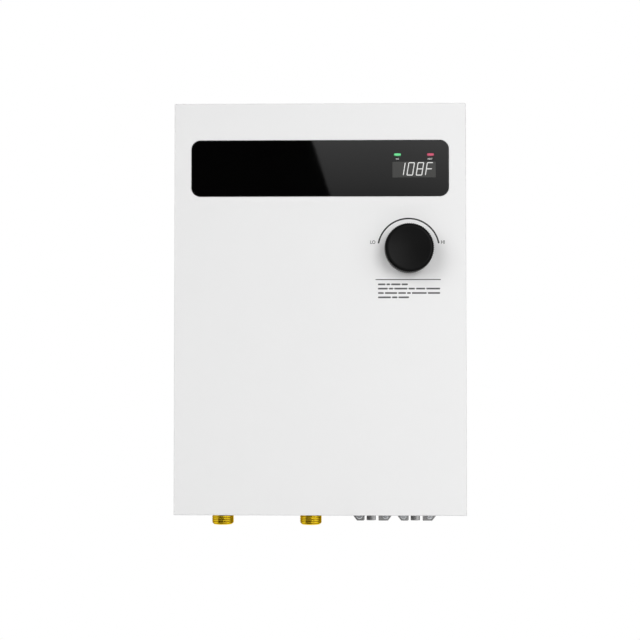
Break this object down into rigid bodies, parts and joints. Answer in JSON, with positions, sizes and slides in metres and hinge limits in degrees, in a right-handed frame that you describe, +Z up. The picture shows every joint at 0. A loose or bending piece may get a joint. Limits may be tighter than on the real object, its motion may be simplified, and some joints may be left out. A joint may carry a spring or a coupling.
{
  "type": "instant electric water heater",
  "caption": "Wall-hung instant electric water heater: folded white case, dark display strip, serrated push-and-turn knob, threaded water fittings and clamp cable glands below.",
  "frame": {"origin": "on the wall plane, in the middle of the four wall holes, which is the middle of the case", "axes": "+Z up, +X to the right as seen from the front, +Y into the wall, so the front faces -Y"},
  "size_m": [0.2848, 0.11, 0.4088],
  "materials": {
    "white_powder_coat": "fine satin powder coat",
    "galvanised_sheet": "zinc-coated sheet with a faint spangle",
    "black_gloss_panel": "high gloss",
    "smoked_window": "smoked and glossy",
    "green_lens": "diffusing lens",
    "red_lens": "diffusing lens",
    "grey_display": "moulded",
    "green_board": "solder mask",
    "brass_spacer": "turned",
    "zinc_plate": "bright zinc",
    "white_nylon": "moulded",
    "black_moulding": "moulded",
    "orange_code_wheel": "moulded",
    "black_knob": "fine spark-eroded texture",
    "machined_brass": "machined, bright thread crests",
    "black_rubber": "moulded",
    "stainless_steel": "drawn and brushed",
    "copper": "drawn copper",
    "brass_cap": "machined",
    "rod_sheath": "annealed sheath",
    "grey_moulding": "glass-filled moulding",
    "aluminium_block": "extruded",
    "brown_phenolic": "pressed",
    "red_button": "moulded",
    "yellow_tape": "taped winding",
    "blue_relay_case": "moulded",
    "die_cast_zinc": "die-cast and tumbled",
    "silicone_lead": "silicone sleeve",
    "pvc_lead": "extruded"
  },
  "bodies": {
    "case": {"front_cover": "white_powder_coat", "rear_chassis": "galvanised_sheet", "connection_plate": "galvanised_sheet", "display_panel": "black_gloss_panel", "display_window": "smoked_window", "power_lamp": "green_lens", "heat_lamp": "red_lens", "digit_module": "grey_display", "display_board": "green_board", "power_board": "green_board", "display_spacers": "brass_spacer", "board_spacers": "brass_spacer", "encoder_body": "zinc_plate", "encoder_nut": "zinc_plate", "m3_screws": "zinc_plate", "m4_screws": "zinc_plate", "cap_screws": "zinc_plate", "terminal_screws": "zinc_plate", "gland_screws": "zinc_plate", "vessel_straps": "zinc_plate", "rotor_bearings": "white_nylon", "inlet_filter": "white_nylon", "push_switch": "black_moulding", "hall_sensor": "black_moulding", "triacs": "black_moulding", "thermistors": "black_moulding", "terminal_block": "black_moulding", "flow_sensor": "black_moulding", "cold_inlet": "machined_brass", "hot_outlet": "machined_brass", "pipe_locknuts": "machined_brass", "rubber_washers": "black_rubber", "vessel_seals": "black_rubber", "rotor_pin": "stainless_steel", "cold_vessel": "stainless_steel", "hot_vessel": "stainless_steel", "cold_tube": "copper", "hot_tube": "copper", "crossover_tube": "copper", "element_links": "copper", "vessel_caps": "brass_cap", "cold_element": "rod_sheath", "hot_element": "rod_sheath", "vessel_cradles": "grey_moulding", "cooling_block": "aluminium_block", "thermal_cutout": "brown_phenolic", "transformer": "yellow_tape", "relays": "blue_relay_case", "cable_glands": "die_cast_zinc", "gland_straps": "die_cast_zinc", "gland_locknuts": "die_cast_zinc", "power_leads": "silicone_lead", "signal_leads": "pvc_lead"},
    "plunger": {"push_plunger": "white_nylon"},
    "knob": {"control_knob": "black_knob", "knob_ring": "zinc_plate", "encoder_shaft": "zinc_plate"},
    "code_wheel": {"encoder_rotor": "orange_code_wheel"},
    "turbine": {"flow_rotor": "white_nylon"},
    "reset": {"reset_button": "red_button"}
  },
  "joints": [
    {"name": "knob_push", "type": "slide", "parent": "case", "child": "plunger", "axis": [0, 1, 0], "range_m": [0, 0.0015], "stiffness_N_per_m": 4000},
    {"name": "knob_turn", "type": "hinge", "parent": "plunger", "child": "knob", "pos_m": [0.0849, -0.088, 0.0569], "axis": [0, 1, 0], "continuous": true},
    {"name": "code_wheel_turn", "type": "hinge", "parent": "case", "child": "code_wheel", "pos_m": [0.0849, -0.084, 0.0569], "axis": [0, 1, 0], "continuous": true},
    {"name": "turbine_spin", "type": "hinge", "parent": "case", "child": "turbine", "pos_m": [-0.01, -0.04, -0.1465], "axis": [0, 0, 1], "continuous": true},
    {"name": "reset_pop", "type": "slide", "parent": "case", "child": "reset", "axis": [0, -1, 0], "range_m": [0, 0.002]}
  ],
  "couplings": [
    {"joint": "code_wheel_turn", "follows": "knob_turn", "ratio": 1}
  ]
}
